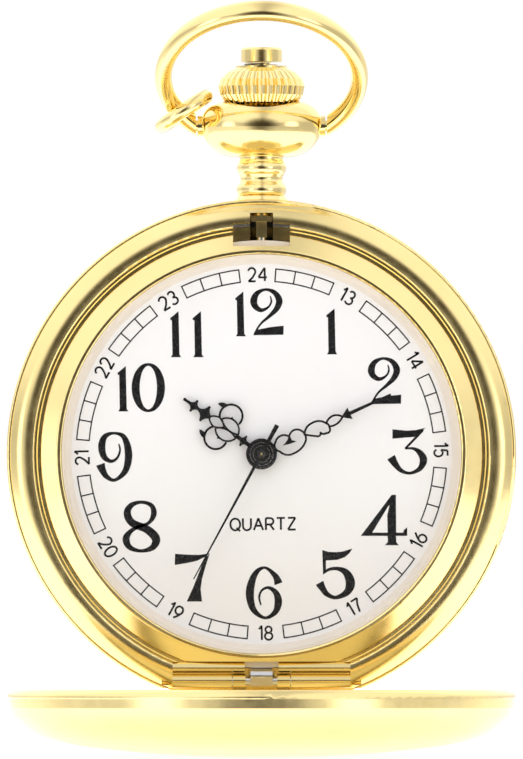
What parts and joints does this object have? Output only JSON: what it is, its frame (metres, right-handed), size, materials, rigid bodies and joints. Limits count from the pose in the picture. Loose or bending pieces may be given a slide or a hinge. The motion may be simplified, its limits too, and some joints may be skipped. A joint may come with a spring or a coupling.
{
  "type": "pocket watch",
  "caption": "Gold hunter pocket watch with its lid open, white dial with numbers, openwork black hands, fluted crown with a release button, and a bow with a jump ring.",
  "frame": {"origin": "centre of the flat back cover, on the axis of the hands", "axes": "+Z towards 12 o'clock and the crown, +X towards 3 o'clock, +Y out of the back cover; the dial faces -Y"},
  "size_m": [0.0466, 0.051, 0.0679],
  "materials": {
    "gold_polish": "polished gold plating",
    "gold_satin": "satin gold plating",
    "glass": "clear polished",
    "dial_white": "matt white lacquer",
    "hand_black": "gloss black",
    "steel": "polished",
    "movement_brass": "satin",
    "copper": "enamelled copper wire",
    "holder_plastic": "moulded",
    "board_green": "solder mask",
    "chip_black": "moulded",
    "seal_rubber": "smooth"
  },
  "bodies": {
    "case": {"case_middle": "gold_satin", "case_back": "gold_polish", "back_gasket": "seal_rubber", "bezel": "gold_satin", "crystal_glass": "glass", "glass_gasket": "holder_plastic", "dial_flange": "holder_plastic", "dial": "dial_white", "movement_holder": "holder_plastic", "main_plate": "movement_brass", "train_bridge": "movement_brass", "bridge_screws": "steel", "centre_tube": "steel", "dial_washer": "movement_brass", "stator": "steel", "coil_core": "steel", "coil_winding": "copper", "circuit_board": "board_green", "quartz_crystal": "steel", "ic_chip": "chip_black", "battery": "steel", "battery_clamp": "steel", "pendant": "gold_polish", "pendant_sleeve": "steel", "hinge_pin": "steel", "lift_spring": "steel", "latch_spring": "steel", "crown_gasket": "seal_rubber"},
    "lid": {"lid_shell": "gold_satin", "lid_knuckles": "gold_polish", "lid_catch": "gold_satin"},
    "clutch": {"clutch_wheel": "steel"},
    "crown_group": {"crown": "gold_polish", "stem": "steel", "button_spring": "steel"},
    "button": {"release_button": "gold_satin"},
    "latch": {"latch_hook": "gold_satin"},
    "bow_body": {"bow": "gold_polish"},
    "ring_body": {"chain_ring": "gold_polish"},
    "seconds": {"second_hand": "hand_black", "fourth_wheel": "movement_brass"},
    "minutes": {"minute_hand": "hand_black", "centre_wheel": "movement_brass", "cannon_pinion": "steel"},
    "hours": {"hour_hand": "hand_black", "hour_wheel": "movement_brass"},
    "third": {"third_wheel": "movement_brass"},
    "fifth": {"fifth_wheel": "movement_brass"},
    "rotor_body": {"rotor": "steel"},
    "minute_gear": {"minute_wheel": "movement_brass"},
    "setting": {"setting_wheel": "steel"},
    "lever": {"setting_lever": "steel"}
  },
  "joints": [
    {"name": "lid_hinge", "type": "hinge", "parent": "case", "child": "lid", "pos_m": [0, -0.0076, -0.0207], "axis": [1, 0, 0], "range_deg": [-88, 0], "stiffness_Nm_per_rad": 0.006, "springref_deg": 22.92},
    {"name": "crown_turn", "type": "hinge", "parent": "case", "child": "clutch", "pos_m": [0, -0.0041, 0.033], "axis": [0, 0, 1], "continuous": true},
    {"name": "crown_pull", "type": "slide", "parent": "clutch", "child": "crown_group", "axis": [0, 0, 1], "range_m": [0, 0.0009]},
    {"name": "release_press", "type": "slide", "parent": "crown_group", "child": "button", "axis": [0, 0, -1], "range_m": [0, 0.0008], "stiffness_N_per_m": 300, "springref_m": -0.0006, "deforming": ["button_spring"]},
    {"name": "latch_slide", "type": "slide", "parent": "case", "child": "latch", "axis": [0, 0, -1], "range_m": [0, 0.00076]},
    {"name": "bow_swing", "type": "hinge", "parent": "case", "child": "bow_body", "pos_m": [0, -0.0041, 0.03], "axis": [1, 0, 0], "range_deg": [-145, 45]},
    {"name": "ring_swing", "type": "hinge", "parent": "bow_body", "child": "ring_body", "pos_m": [-0.0074, -0.00545, 0.03114], "axis": [-0.5592, -0.6351, 0.5329], "range_deg": [-5, 45]},
    {"name": "seconds_turn", "type": "hinge", "parent": "case", "child": "seconds", "pos_m": [0, -0.004, 0], "axis": [0, 1, 0], "continuous": true},
    {"name": "minutes_turn", "type": "hinge", "parent": "case", "child": "minutes", "pos_m": [0, -0.004, 0], "axis": [0, 1, 0], "continuous": true},
    {"name": "hours_turn", "type": "hinge", "parent": "case", "child": "hours", "pos_m": [0, -0.004, 0], "axis": [0, 1, 0], "continuous": true},
    {"name": "third_turn", "type": "hinge", "parent": "case", "child": "third", "pos_m": [0.0008, -0.004, -0.00221], "axis": [0, 1, 0], "continuous": true},
    {"name": "fifth_turn", "type": "hinge", "parent": "case", "child": "fifth", "pos_m": [-0.00208, -0.004, -0.0012], "axis": [0, 1, 0], "continuous": true},
    {"name": "rotor_turn", "type": "hinge", "parent": "case", "child": "rotor_body", "pos_m": [-0.00407, -0.004, -0.00222], "axis": [0, 1, 0], "continuous": true},
    {"name": "minute_gear_turn", "type": "hinge", "parent": "case", "child": "minute_gear", "pos_m": [0.00121, -0.004, 0.00207], "axis": [0, 1, 0], "continuous": true},
    {"name": "setting_turn", "type": "hinge", "parent": "case", "child": "setting", "pos_m": [0, -0.004, 0.0046], "axis": [0, 1, 0], "continuous": true},
    {"name": "lever_swing", "type": "hinge", "parent": "case", "child": "lever", "pos_m": [0.0026, -0.0034, 0.0082], "axis": [0, 1, 0], "range_deg": [0, 20.5]}
  ],
  "couplings": [
    {"joint": "minutes_turn", "follows": "seconds_turn", "ratio": 0.016667},
    {"joint": "hours_turn", "follows": "seconds_turn", "ratio": 0.0013889},
    {"joint": "third_turn", "follows": "seconds_turn", "ratio": -0.13333},
    {"joint": "fifth_turn", "follows": "seconds_turn", "ratio": -5},
    {"joint": "rotor_turn", "follows": "seconds_turn", "ratio": 30},
    {"joint": "minute_gear_turn", "follows": "seconds_turn", "ratio": -0.0055556},
    {"joint": "setting_turn", "follows": "seconds_turn", "ratio": 0.01},
    {"joint": "latch_slide", "follows": "release_press", "ratio": 0.9375},
    {"joint": "lever_swing", "follows": "crown_pull", "rad_per_m": 382}
  ]
}
